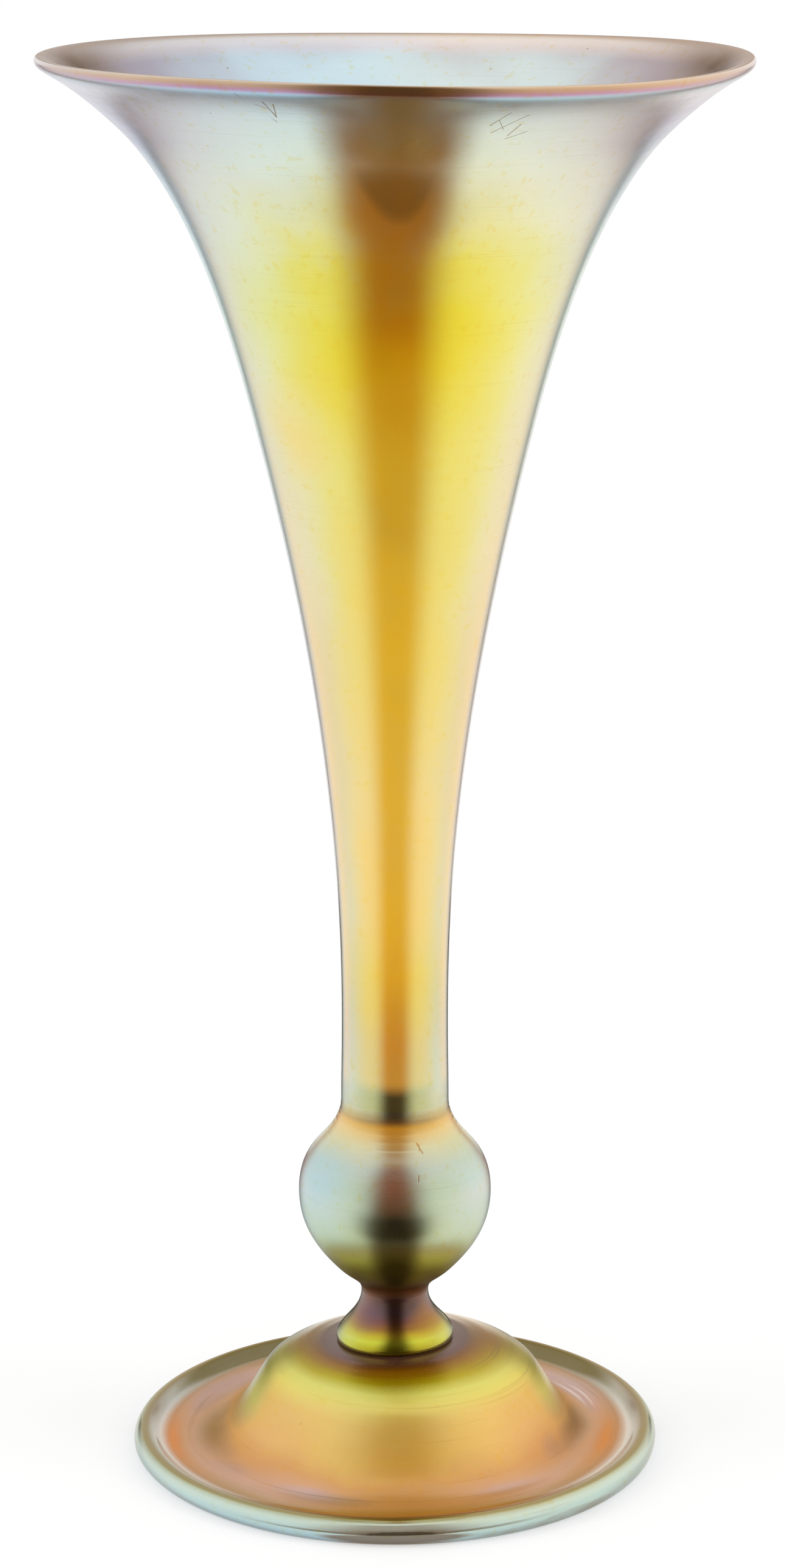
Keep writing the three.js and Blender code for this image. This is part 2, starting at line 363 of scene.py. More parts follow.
def make_foot():
    seat_radius = COLLAR_RADIUS - COLLAR_UNDERCUT + SEAT_LEDGE
    trough_radius, trough_level = FOOT_RADIUS - BRIM_WIDTH, BRIM_CLEARANCE + FOOT_WALL
    seat_edge = knot(seat_radius, COLLAR_LEVEL, SEAT_SLOPE)
    flank = knot_between(
        (seat_radius, trough_level), (trough_radius, COLLAR_LEVEL), DOME_KNOT, DOME_SLOPE
    )
    trough = knot(trough_radius, trough_level, 0)

    # Rolled rim, with the ground flat at its bottom
    flat_degrees = math.degrees(math.asin(HALF_STANDING_WIDTH / ROLL_RADIUS))
    roll_level = ROLL_RADIUS * math.cos(math.radians(flat_degrees))
    roll_centre = Vector((FOOT_RADIUS - ROLL_RADIUS, roll_level))
    rolled = arc(roll_centre, ROLL_RADIUS, ROLL_ABOVE, flat_degrees - 90, steps=28)
    rolled_under = arc(roll_centre, ROLL_RADIUS, 270 - flat_degrees, ROLL_BELOW, steps=8)
    upturn = knot(*rolled[0], BRIM_UPTURN)

    # Hollow under the dome, with the polished dish in its ceiling
    ceiling = COLLAR_LEVEL - CROWN_WALL
    place, way = flank
    vault_end = (place + Vector((way.y, -way.x)) * FOOT_WALL, way)
    vault = sweep(knot(PONTIL_RADIUS, ceiling, 0), vault_end, VAULT_ARMS, steps=20)
    under_skirt = sweep(vault_end, knot(trough_radius, BRIM_CLEARANCE, 0), SKIRT_ARMS, steps=20)
    curve = (PONTIL_RADIUS**2 + PONTIL_DEPTH**2) / (2 * PONTIL_DEPTH)
    dish_degrees = math.degrees(math.asin(PONTIL_RADIUS / curve))
    dish_centre = (0, ceiling + PONTIL_DEPTH - curve)
    dish = arc(dish_centre, curve, 90 - dish_degrees, 90, steps=6)

    outline = [on_axis(COLLAR_LEVEL)]
    outline += grooved(sweep(seat_edge, flank, CROWN_ARMS, steps=90), "radius", FOOT_GROOVES)
    outline += sweep(flank, trough, SKIRT_ARMS, steps=30)
    outline += sweep(trough, upturn, UPTURN_ARMS, steps=24) + rolled + rolled_under
    outline += under_skirt[::-1] + vault[::-1] + dish[1:]
    return turned("lustre_foot", outline)


# ---------------------------------------------------------------- finish

# Slants at which the film's colour turns from face to side, and from there to the rim: 0 is
# straight on and 1 is edge on
SLANTS = (0.04, 0.46, 0.34, 0.84)
EDGE_SLANTS = (0.72, 0.93)
DRIFT_IN_SLANT = 0.4

# Noise in the finish: its scale per metre, its detail and its roughness
DRIFT = (26, 2.0, 0.5)
MOTTLE = (170, 3.0, 0.55)
SPECKS = (420, 3.0, 0.6)
GRAIN = (2600, 2.0, 0.5)
RINGS = (1.0, 4.0, 0.7)
MOTTLE_SHAPE = (1, 1, 0.55)

# Wander of the bands: the most that a ramp holds, and mm at that most in drift and in mottling
MOST_WANDER = 40
DRIFT_REACH = 48
MOTTLE_REACH = 26

# The left of the vase is a little cooler than the right
LEFT_TINT = (0.89, 0.97, 1.02, 1)
RIGHT_TINT = (1.06, 1.02, 0.94, 1)
TINT_SPAN = (-0.03, 0.03)
DRIFT_IN_TINT = 0.9

SPECK_TINT = (1.0, 0.84, 0.45, 1)
SPECK_LEVELS = (0.06, 0.2)
SPECK_SHARE = 0.45
MOTTLE_IN_COVER = 0.05

# Rings of the tool: how often they break off round the vase, and where their noise is dark
RING_BREAKS = 14
RING_LEVELS = (-0.26, -0.06)
RING_SHADE = 0.12

# Pits: how many to the metre, which share is left out, their size in cells and their darkness
PITS = 120
PITS_LEFT_OUT = 0.86
PIT_SIZE = (0.02, 0.045)
PIT_SHADE = 0.7

WORN_COLOUR = (0.16, 0.11, 0.06, 1)
WORN_SHARE = 0.8
GRAIN_LEVELS = (-0.25, 0.25)
GRAIN_SHARE = 0.14
MOTTLE_IN_ROUGHNESS = 0.12
RING_IN_ROUGHNESS = -0.10
GRAIN_DEPTH = 0.004
WORN_DEPTH = -0.02

WHITE = (1, 1, 1)


class Nodes:
    """A node tree, with short ways to add nodes to it."""

    def __init__(self, tree):
        self.tree = tree

    def add(self, kind, inputs=(), **settings):
        node = self.tree.nodes.new(kind)
        for name, value in settings.items():
            setattr(node, name, value)
        for name, value in dict(inputs).items():
            self.feed(node.inputs[name], value)
        return node

    def feed(self, socket, value):
        if isinstance(value, bpy.types.NodeSocket):
            self.tree.links.new(value, socket)
        else:
            socket.default_value = value

    def math(self, operation, *values, clamp=False):
        node = self.add("ShaderNodeMath", operation=operation, use_clamp=clamp)
        for socket, value in zip(node.inputs, values):
            self.feed(socket, value)
        return node.outputs[0]

    def vector(self, operation, *values):
        node = self.add("ShaderNodeVectorMath", operation=operation)
        for socket, value in zip(node.inputs, values):
            self.feed(socket, value)
        number = operation in ("LENGTH", "DOT_PRODUCT")
        return node.outputs["Value" if number else "Vector"]

    def spread(self, value, low, high, start=0.0, end=1.0, easing="SMOOTHSTEP"):
        ends = {"From Min": low, "From Max": high, "To Min": start, "To Max": end}
        node = self.add("ShaderNodeMapRange", {"Value": value, **ends}, interpolation_type=easing)
        return node.outputs["Result"]

    def cloud(self, place, scale, detail, roughness):
        """Even noise between -0.5 and 0.5."""
        inputs = {"Vector": place, "Scale": scale, "Detail": detail, "Roughness": roughness}
        return self.math("SUBTRACT", self.add("ShaderNodeTexNoise", inputs).outputs["Fac"], 0.5)

    def ramp(self, level, stops):
        """Colours along a level, each given as (level, (red, green, blue, alpha))."""
        low, high = stops[0][0], stops[-1][0]
        share = self.spread(level, low, high, easing="LINEAR")
        node = self.add("ShaderNodeValToRGB", {"Fac": share})
        elements = node.color_ramp.elements
        elements[0].color = stops[0][1]
        elements[1].color = stops[-1][1]
        for at, colour in stops[1:-1]:
            elements.new((at - low) / (high - low)).color = colour
        return node.outputs

    def number_ramp(self, level, stops):
        """Numbers from 0 to 1 along a level, each given as (level, number)."""
        return self.ramp(level, [(at, (number,) * 3 + (1,)) for at, number in stops])["Color"]

    def blend(self, share, a, b, way="MIX"):
        node = self.add("ShaderNodeMix", data_type="RGBA", blend_type=way)
        colours = [socket for socket in node.inputs if socket.type == "RGBA"]
        self.feed(node.inputs["Factor"], share)
        self.feed(colours[0], a)
        self.feed(colours[1], b)
        return next(socket for socket in node.outputs if socket.type == "RGBA")

    def bumps(self, *heights):
        """Relief laid on relief, each given as its height and its depth in mm."""
        under = {}
        for height, depth in heights:
            node = self.add("ShaderNodeBump", {"Height": height, "Distance": depth * MM, **under})
            under = {"Normal": node.outputs[0]}
        return node.outputs[0]

    def seen_directly(self):
        """1 for the rays of the camera and of what mirrors or passes light, 0 for the rest."""
        rays = self.add("ShaderNodeLightPath").outputs
        sharp = self.math("MAXIMUM", rays["Is Camera Ray"], rays["Is Glossy Ray"])
        return self.math("MAXIMUM", sharp, rays["Is Transmission Ray"])

    def show(self, share, under, over):
        """Shows one shader, and the other over it by its share."""
        both = self.add("ShaderNodeMixShader", {0: share, 1: under.outputs[0], 2: over.outputs[0]})
        self.feed(self.tree.nodes["Material Output"].inputs["Surface"], both.outputs[0])


def new_material(name, settings=()):
    material = bpy.data.materials.new(name)
    material.use_nodes = True
    shader = material.node_tree.nodes["Principled BSDF"]
    for socket, value in dict(settings).items():
        shader.inputs[socket].default_value = value
    return material, Nodes(material.node_tree), shader


def film_colour(f, course, patchy, drift, look):
    """What glass, film and cover show at a place on the outline and from a slant."""
    bands, slants = look["bands"], look.get("slants", SLANTS)
    glass = f.ramp(course, [(at, (*amber, cover)) for at, amber, cover, _, _ in bands])
    face = f.ramp(patchy, [(at, (*colour, 1)) for at, _, _, colour, _ in bands])
    # A side's colour may end in a cover of its own
    side = f.ramp(course, [(at, (*colour, cover)[:4]) for at, _, cover, _, colour in bands])
    rim = f.ramp(course, [(at, (*colour, cover)) for at, colour, cover in look["rims"]])
    slant = f.add("ShaderNodeLayerWeight", {"Blend": 0.5}).outputs["Facing"]
    turned_away = f.spread(
        f.math("MULTIPLY_ADD", drift, DRIFT_IN_SLANT, slant), slants[0], slants[1]
    )
    film = f.blend(turned_away, face["Color"], side["Color"])
    cover = f.spread(turned_away, 0.0, 1.0, glass["Alpha"], side["Alpha"], easing="LINEAR")
    grazing = f.spread(slant, slants[2], slants[3])
    film = f.blend(grazing, film, rim["Color"])
    cover = f.math("MAXIMUM", cover, f.math("MULTIPLY", grazing, rim["Alpha"]))
    if "edges" in look:
        edge = f.ramp(course, [(at, (*colour, share)) for at, colour, share in look["edges"]])
        share = f.math("MULTIPLY", f.spread(slant, *EDGE_SLANTS), edge["Alpha"])
        film = f.blend(share, film, edge["Color"])
    return glass["Color"], film, cover


def patched(f, parts, course, film, cover, patches):
    """Soft patches where the film has another colour, and patches of painted reflection, painted
    shade and painted highlight.
    """
    if not patches:
        return film, cover
    round_axis = f.math("ARCTAN2", parts["X"], f.math("MULTIPLY", parts["Y"], -1))
    for (angle, level), (wide, high), core, colour, share in patches:
        aside = f.math("MULTIPLY_ADD", round_axis, math.degrees(1) / wide, -angle / wide)
        above = f.math("MULTIPLY_ADD", course, 1 / high, -level / high)
        from_middle = f.add("ShaderNodeCombineXYZ", {"X": aside, "Y": above}).outputs[0]
        here = f.spread(f.vector("LENGTH", from_middle), core, 1.0, share, 0.0)
        film = f.blend(here, film, (*colour, 1))
        cover = f.math("MAXIMUM", cover, here)
    return film, cover


def drawn_level(f, look, parts, radius):
    """The level or radius in mm that the bands of a finish are written for."""
    if look["along"] == "height":
        return f.math("MULTIPLY", parts["Z"], 1 / MM)
    # The lower half of the rolled rim goes on outwards
    below = f.math("MAXIMUM", f.math("SUBTRACT", ROLL_LEVEL * MM, parts["Z"]), 0.0)
    return f.math("MULTIPLY", f.math("ADD", radius, below), 1 / MM)


def lustre_film(f, look, place, parts, drawn, drift, mottle):
    """Glass, film and cover, with bands that wander in slow drifts and in fine mottling."""
    amount = f.number_ramp(drawn, [(at, mm / MOST_WANDER) for at, mm in look["wander"]])
    course = f.math("MULTIPLY_ADD", drift, f.math("MULTIPLY", amount, DRIFT_REACH), drawn)
    patchy = f.math("MULTIPLY_ADD", mottle, f.math("MULTIPLY", amount, MOTTLE_REACH), course)
    glass, film, cover = film_colour(f, course, patchy, drift, look)
    to_right = f.math("MULTIPLY_ADD", drift, DRIFT_IN_TINT, f.spread(parts["X"], *TINT_SPAN))
    film = f.blend(1.0, film, f.blend(to_right, LEFT_TINT, RIGHT_TINT), "MULTIPLY")
    speck = f.spread(f.cloud(place, *SPECKS), *SPECK_LEVELS, 0.0, SPECK_SHARE)
    film = f.blend(speck, film, f.blend(1.0, film, SPECK_TINT, "MULTIPLY"))
    film, cover = patched(f, parts, course, film, cover, look.get("patches", ()))
    return glass, film, f.math("MULTIPLY_ADD", mottle, MOTTLE_IN_COVER, cover, clamp=True)


def tool_rings(f, look, parts, radius):
    """Noise drawn out into the fine rings that turning against the tool leaves."""
    outwards, upwards = look["rings"]
    level = f.math("MULTIPLY_ADD", radius, outwards, f.math("MULTIPLY", parts["Z"], upwards))
    places = {axis: f.math("MULTIPLY", parts[axis], RING_BREAKS) for axis in "XY"}
    ring_place = f.add("ShaderNodeCombineXYZ", {**places, "Z": level}).outputs["Vector"]
    return f.cloud(ring_place, *RINGS)


def scratched(f, place, marks):
    """1 on the lines of the marks, each given by its two ends and its width in metres."""
    worn = 0.0
    for start, end, width in marks:
        along = end - start
        from_start = f.vector("SUBTRACT", place, tuple(start))
        share = f.vector("DOT_PRODUCT", from_start, tuple(along / along.length_squared))
        share = f.math("ADD", share, 0.0, clamp=True)
        inputs = {0: tuple(along), "Scale": share}
        nearest = f.add("ShaderNodeVectorMath", inputs, operation="SCALE").outputs[0]
        gap = f.vector("LENGTH", f.vector("SUBTRACT", from_start, nearest))
        worn = f.math("MAXIMUM", worn, f.spread(gap, 0.0, width, 1.0, 0.0))
    return worn


def pitted(f, place):
    """Small round pits, in some of the cells that the surface is divided into."""
    cell = f.add("ShaderNodeTexVoronoi", {"Vector": place, "Scale": PITS}).outputs
    number = f.vector("DOT_PRODUCT", cell["Color"], (1, 0, 0))
    pits = f.spread(cell["Distance"], *PIT_SIZE, 1.0, 0.0)
    pits = f.math("MULTIPLY", pits, f.math("GREATER_THAN", number, PITS_LEFT_OUT))
    return f.math("MULTIPLY", pits, PIT_SHADE)


def lustre(name, look, marks=()):
    """Amber glass partly covered by a film of metal, which is coloured by its thickness."""
    material, f, glass_shader = new_material(name)
    place = f.add("ShaderNodeAttribute", attribute_name="drawn_place").outputs["Vector"]
    parts = f.add("ShaderNodeSeparateXYZ", {"Vector": place}).outputs
    radius = f.vector("LENGTH", f.vector("MULTIPLY", place, (1, 1, 0)))
    drawn = drawn_level(f, look, parts, radius)
    drift = f.cloud(place, *DRIFT)
    mottle = f.cloud(f.vector("MULTIPLY", place, MOTTLE_SHAPE), *MOTTLE)
    grain = f.cloud(place, *GRAIN)
    ring = tool_rings(f, look, parts, radius)
    worn = f.math("MAXIMUM", pitted(f, place), scratched(f, place, marks))
    glass, film, cover = lustre_film(f, look, place, parts, drawn, drift, mottle)

    ringed = f.spread(ring, *RING_LEVELS, look.get("ring_shade", RING_SHADE), 0.0)
    dark = f.math("ADD", ringed, f.math("MULTIPLY", worn, WORN_SHARE), clamp=True)
    film = f.blend(dark, film, WORN_COLOUR)
    film = f.blend(f.spread(grain, *GRAIN_LEVELS, 0.0, GRAIN_SHARE), film, (*WHITE, 1), "MULTIPLY")
    roughness = f.number_ramp(drawn, look["rough"])
    roughness = f.math("MULTIPLY_ADD", mottle, MOTTLE_IN_ROUGHNESS, roughness)
    roughness = f.math("MULTIPLY_ADD", ring, RING_IN_ROUGHNESS, roughness)
    relief = f.bumps((ring, look["ring_depth"]), (grain, GRAIN_DEPTH), (worn, WORN_DEPTH))

    film_shader = f.add("ShaderNodeBsdfPrincipled", {"Metallic": 1.0})
    film_shader.inputs["Specular Tint"].default_value = (*look.get("far_edge", WHITE), 1)
    for shader, colour in ((glass_shader, glass), (film_shader, film)):
        f.feed(shader.inputs["Base Color"], colour)
        f.feed(shader.inputs["Roughness"], roughness)
        f.feed(shader.inputs["Normal"], relief)
    f.show(cover, glass_shader, film_shader)
    return material


# Bands of each finish: level or radius in mm, colour of the glass, share that the film covers,
# colour of the film seen straight on, and its colour seen from a slant, with a cover of its
# own where that differs
BOWL_BANDS = [
    (94, (0.11, 0.05, 0.003), 0.60, (0.76, 0.78, 0.34), (0.78, 0.80, 0.52, 0.74)),
    (98.4, (0.13, 0.06, 0.003), 0.58, (0.76, 0.82, 0.40), (0.88, 0.92, 0.70, 0.72)),
    (99.6, (0.54, 0.20, 0.003), 0.50, (0.58, 0.88, 0.50), (0.70, 0.90, 0.78, 0.66)),
    (101.5, (0.96, 0.37, 0.0), 0.42, (0.36, 0.90, 0.58), (0.40, 0.84, 0.84, 0.62)),
    (112, (0.98, 0.34, 0.0), 0.40, (0.40, 0.94, 0.50), (0.36, 0.82, 0.78, 0.60)),
    (121, (1.0, 0.38, 0.0), 0.36, (0.44, 0.98, 0.36), (0.34, 0.78, 0.66, 0.58)),
    (131, (1.0, 0.44, 0.0), 0.27, (0.40, 1.0, 0.34), (0.42, 0.78, 0.60, 0.54)),
    (146, (1.0, 0.50, 0.0), 0.23, (0.48, 1.0, 0.74), (0.41, 0.79, 0.82, 0.52)),
    (176, (1.0, 0.53, 0.0), 0.23, (0.46, 1.0, 0.90), (0.47, 0.72, 0.70, 0.52)),
    (210, (1.0, 0.53, 0.0), 0.24, (0.42, 1.0, 0.56), (0.54, 0.72, 0.64, 0.54)),
    (240, (1.0, 0.51, 0.0), 0.31, (0.45, 0.98, 0.40), (0.68, 0.84, 0.68, 0.64)),
    (265, (1.0, 0.49, 0.0), 0.38, (0.56, 0.98, 0.26), (0.74, 0.84, 0.56, 0.74)),
    (284, (1.0, 0.40, 0.0), 0.46, (0.64, 0.96, 0.04), (0.78, 0.90, 0.50, 0.80)),
    (300, (0.98, 0.28, 0.0), 0.55, (0.70, 0.97, 0.02), (0.77, 0.90, 0.36, 0.82)),
    (311, (0.96, 0.28, 0.0), 0.60, (0.74, 0.96, 0.10), (0.75, 0.88, 0.46, 0.84)),
    (320, (0.96, 0.30, 0.0), 0.64, (0.72, 0.94, 0.38), (0.76, 0.90, 0.68, 0.84)),
    (332, (0.94, 0.34, 0.01), 0.68, (0.64, 0.82, 0.42), (0.74, 0.87, 0.76, 0.84)),
    (340, (0.86, 0.33, 0.02), 0.69, (0.54, 0.76, 0.38), (0.74, 0.90, 0.80, 0.86)),
    (346, (0.76, 0.31, 0.02), 0.70, (0.34, 0.50, 0.24), (0.70, 0.90, 0.84, 0.86)),
    (351, (0.60, 0.24, 0.02), 0.71, (0.17, 0.34, 0.20), (0.62, 0.90, 0.90, 0.86)),
    (353.1, (0.46, 0.16, 0.02), 0.72, (0.14, 0.52, 0.68), (0.24, 0.74, 0.96, 0.80)),
    (354.1, (0.42, 0.14, 0.03), 0.72, (0.52, 0.22, 0.44), (0.68, 0.34, 0.58)),
    (354.9, (0.40, 0.16, 0.03), 0.70, (0.62, 0.40, 0.28), (0.76, 0.56, 0.42)),
    (356, (0.36, 0.17, 0.05), 0.70, (0.80, 0.66, 0.48), (0.88, 0.74, 0.60)),
]
# Wander of the bands: level or radius, and how far they stray there, both in mm
BOWL_WANDER = [
    (94, 0.4), (110, 2.0), (140, 8.0), (200, 14.0), (262, 22.0), (300, 26.0), (318, 24.0),
    (332, 14.0), (346, 2.0), (352, 0.3), (356, 0.2),
]
INSIDE_BANDS = [
    (94, (0.30, 0.12, 0.02), 0.50, (0.60, 0.46, 0.20), (0.60, 0.50, 0.25)),
    (230, (0.55, 0.26, 0.03), 0.55, (0.80, 0.72, 0.34), (0.80, 0.74, 0.45)),
    (300, (0.45, 0.22, 0.04), 0.68, (0.74, 0.86, 0.66), (0.66, 0.70, 0.66)),
    (328, (0.34, 0.24, 0.18), 0.76, (0.74, 0.92, 1.0), (0.54, 0.50, 0.62)),
    (351, (0.34, 0.26, 0.20), 0.78, (0.76, 0.94, 1.0), (0.54, 0.50, 0.60)),
    (353.2, (0.36, 0.26, 0.20), 0.76, (0.92, 0.92, 1.0), (0.80, 0.72, 0.74)),
    (354.8, (0.56, 0.50, 0.50), 0.72, (1.0, 0.96, 0.97), (1.0, 0.95, 0.96)),
    (356, (0.36, 0.17, 0.05), 0.70, (0.86, 0.74, 0.56), (0.92, 0.80, 0.66)),
]
INSIDE_WANDER = [(94, 3.0), (300, 12.0), (345, 4.0), (352, 0.6), (356, 0.2)]
KNOP_BANDS_AND_PAINTED_SHADE = [
    # The lowest bands, up to 52 mm, are darkened as painted shade on the underside of the ball.
    (42.2, (0.05, 0.01, 0.003), 0.50, (0.20, 0.10, 0.07), (0.42, 0.22, 0.15)),
    (45, (0.16, 0.05, 0.005), 0.72, (0.12, 0.05, 0.01), (0.12, 0.05, 0.01)),
    (48.5, (0.12, 0.08, 0.003), 0.74, (0.15, 0.12, 0.01), (0.15, 0.12, 0.02)),
    (52, (0.12, 0.08, 0.003), 0.70, (0.34, 0.35, 0.06), (0.34, 0.35, 0.08)),
    (56, (0.08, 0.06, 0.002), 0.56, (0.86, 0.94, 0.26), (0.88, 0.98, 0.38)),
    (62, (0.05, 0.03, 0.0), 0.62, (0.86, 0.92, 0.42), (0.84, 1.0, 0.72)),
    (69, (0.08, 0.04, 0.0), 0.66, (0.77, 0.89, 0.60), (0.84, 1.0, 0.90)),
    (73, (0.38, 0.08, 0.0), 0.66, (0.62, 0.89, 0.66), (0.74, 1.0, 0.98)),
    (77, (0.54, 0.08, 0.0), 0.66, (0.48, 0.84, 0.64), (0.54, 0.98, 0.98)),
    (81, (0.50, 0.12, 0.02), 0.62, (0.52, 0.84, 0.76), (0.55, 0.94, 0.86)),
    (85.5, (0.74, 0.32, 0.02), 0.52, (0.60, 0.90, 0.74), (0.56, 0.90, 0.70)),
    (88.5, (0.80, 0.30, 0.01), 0.46, (0.62, 0.70, 0.34), (0.72, 0.92, 0.58)),
    (90.3, (0.72, 0.26, 0.0), 0.42, (0.42, 0.42, 0.12), (0.76, 0.78, 0.38)),
    (91.5, (0.22, 0.07, 0.005), 0.50, (0.50, 0.38, 0.16), (0.94, 0.74, 0.32)),
    (92.8, (0.09, 0.03, 0.005), 0.56, (0.66, 0.58, 0.28), (1.0, 0.86, 0.44)),
    (94.2, (0.09, 0.03, 0.005), 0.62, (0.76, 0.74, 0.42), (1.0, 0.98, 0.66)),
]
KNOP_WANDER = [(42.2, 0.4), (50, 2.0), (66, 3.0), (84, 1.6), (90, 0.5), (94.2, 0.4)]
COLLAR_BANDS = [
    (28.9, (0.05, 0.03, 0.0), 0.52, (0.50, 0.34, 0.02), (0.80, 0.66, 0.08)),
    (30.8, (0.06, 0.04, 0.0), 0.60, (0.78, 0.66, 0.02), (1.0, 1.0, 0.14)),
    (32.3, (0.14, 0.10, 0.0), 0.60, (0.96, 0.96, 0.07), (0.98, 1.0, 0.24)),
    (33.6, (0.12, 0.05, 0.0), 0.55, (0.92, 0.72, 0.03), (1.0, 0.92, 0.13)),
    (35.0, (0.06, 0.02, 0.0), 0.50, (0.62, 0.27, 0.04), (0.88, 0.56, 0.10)),
    (36.4, (0.04, 0.01, 0.0), 0.50, (0.38, 0.13, 0.09), (0.74, 0.35, 0.14)),
    (38, (0.03, 0.01, 0.008), 0.50, (0.23, 0.12, 0.12), (0.56, 0.28, 0.22)),
    (40, (0.04, 0.01, 0.005), 0.50, (0.18, 0.11, 0.10), (0.48, 0.27, 0.21)),
    (42.2, (0.05, 0.01, 0.003), 0.45, (0.20, 0.10, 0.07), (0.42, 0.22, 0.15)),
]
COLLAR_WANDER = [(28.9, 0.2), (36, 0.9), (42.2, 0.4)]
FOOT_BANDS_AND_PAINTED_HIGHLIGHT = [
    (15, (0.12, 0.05, 0.03), 0.50, (0.16, 0.08, 0.06), (0.50, 0.40, 0.44)),
    (18.5, (0.12, 0.04, 0.02), 0.52, (0.14, 0.05, 0.03), (0.34, 0.18, 0.20)),
    (20.5, (0.20, 0.07, 0.0), 0.52, (0.22, 0.09, 0.02), (0.28, 0.12, 0.03)),
    (22, (0.32, 0.12, 0.0), 0.50, (0.34, 0.20, 0.0), (0.34, 0.18, 0.0)),
    (24, (0.34, 0.16, 0.0), 0.50, (0.62, 0.50, 0.0), (0.46, 0.35, 0.0)),
    (26.5, (0.42, 0.28, 0.0), 0.48, (0.58, 0.57, 0.04), (0.58, 0.51, 0.02)),
    (30, (0.78, 0.68, 0.10), 0.42, (0.54, 0.58, 0.27), (0.66, 0.66, 0.20)),
    (33, (0.86, 0.64, 0.07), 0.42, (0.60, 0.64, 0.32), (0.68, 0.68, 0.24)),
    (36.5, (0.78, 0.38, 0.01), 0.42, (0.84, 0.78, 0.36), (0.74, 0.62, 0.32)),
    (41, (0.86, 0.38, 0.0), 0.42, (0.70, 0.66, 0.30), (0.66, 0.50, 0.36)),
    (45, (0.82, 0.34, 0.01), 0.40, (0.48, 0.38, 0.27), (0.48, 0.32, 0.26)),
    (49, (0.72, 0.31, 0.04), 0.42, (0.46, 0.46, 0.52), (0.46, 0.34, 0.33)),
    (53.5, (0.64, 0.28, 0.07), 0.44, (0.60, 0.54, 0.54), (0.52, 0.38, 0.36)),
    (56.5, (0.52, 0.23, 0.03), 0.48, (0.40, 0.34, 0.28), (0.48, 0.33, 0.20)),
    (58.4, (0.44, 0.18, 0.02), 0.54, (0.40, 0.28, 0.16), (0.42, 0.28, 0.16)),
    # From 59.5 to 62.6 mm the near-white glass and film are a painted highlight: the light mirrored
    # on the inner slope of the rolled rim.
    (59.5, (0.58, 0.46, 0.36), 0.64, (0.74, 0.68, 0.60), (0.86, 0.80, 0.72)),
    (60.6, (0.80, 0.80, 0.76), 0.70, (0.94, 0.95, 0.92), (1.0, 1.0, 0.98)),
    (62.6, (0.76, 0.74, 0.68), 0.68, (0.90, 0.91, 0.86), (0.98, 0.98, 0.94)),
    (64.2, (0.32, 0.18, 0.03), 0.58, (0.38, 0.34, 0.18), (0.40, 0.35, 0.20)),
    (65.4, (0.30, 0.17, 0.02), 0.58, (0.36, 0.34, 0.14), (0.36, 0.33, 0.16)),
    (66.1, (0.36, 0.30, 0.16), 0.62, (0.60, 0.66, 0.48), (0.66, 0.74, 0.56)),
    (66.8, (0.80, 0.74, 0.56), 0.62, (0.44, 0.62, 0.56), (0.46, 0.64, 0.60)),
    (67.3, (0.76, 0.70, 0.54), 0.62, (0.44, 0.66, 0.62), (0.46, 0.68, 0.66)),
    (67.7, (0.38, 0.24, 0.12), 0.60, (0.54, 0.88, 0.92), (0.56, 0.90, 0.94)),
    (69, (0.32, 0.20, 0.10), 0.60, (0.44, 0.76, 0.92), (0.48, 0.80, 0.94)),
]
FOOT_WANDER = [(15, 0.5), (22, 1.6), (34, 4.0), (46, 7.0), (56, 3.0), (60, 0.8), (67.7, 0.5)]

# Rims: level or radius in mm, colour of the film seen edge on, and the share that it covers
BOWL_RIMS = [
    (94, (0.72, 0.76, 0.64), 0.95),
    (112, (0.72, 0.74, 0.66), 1.0),
    (130, (0.84, 0.78, 0.66), 1.0),
    (175, (0.80, 0.70, 0.66), 1.0),
    (210, (0.74, 0.68, 0.66), 1.0),
    (250, (0.68, 0.72, 0.66), 1.0),
    (300, (0.64, 0.78, 0.70), 1.0),
    (320, (0.58, 0.70, 0.74), 1.0),
    (332, (0.52, 0.58, 0.64), 1.0),
    (338, (0.50, 0.50, 0.62), 1.0),
    (345, (0.58, 0.54, 0.66), 0.95),
    (351, (0.74, 0.72, 0.80), 0.9),
    (353.3, (0.50, 0.62, 0.72), 0.8),
    (354.4, (0.62, 0.48, 0.54), 0.8),
    (356, (0.84, 0.78, 0.76), 0.8),
]
INSIDE_RIMS = [
    (94, (0.46, 0.40, 0.34), 0.75),
    (345, (0.52, 0.52, 0.54), 0.75),
    (349, (0.40, 0.34, 0.32), 0.80),
    (352, (0.08, 0.04, 0.02), 0.90),
    (354.6, (0.26, 0.17, 0.11), 0.85),
    (356, (0.86, 0.78, 0.76), 0.80),
]
KNOP_RIMS = [
    (42.2, (0.26, 0.18, 0.12), 0.8),
    (45, (0.12, 0.08, 0.05), 0.85),
    (48, (0.19, 0.18, 0.09), 0.85),
    (51, (0.40, 0.42, 0.27), 0.9),
    (56, (0.64, 0.68, 0.58), 0.85),
    (62, (0.64, 0.76, 0.72), 0.85),
    (70, (0.64, 0.82, 0.82), 0.85),
    (77, (0.60, 0.84, 0.86), 0.85),
    (82, (0.60, 0.76, 0.68), 0.85),
    (88, (0.64, 0.70, 0.50), 0.85),
    (94.2, (0.72, 0.76, 0.60), 0.9),
]
COLLAR_RIMS = [
    (28.9, (0.34, 0.36, 0.16), 0.8),
    (31.5, (0.62, 0.66, 0.42), 0.8),
    (34, (0.52, 0.50, 0.24), 0.75),
    (36, (0.42, 0.32, 0.16), 0.75),
    (39, (0.38, 0.26, 0.20), 0.75),
    (42.2, (0.34, 0.24, 0.19), 0.75),
]
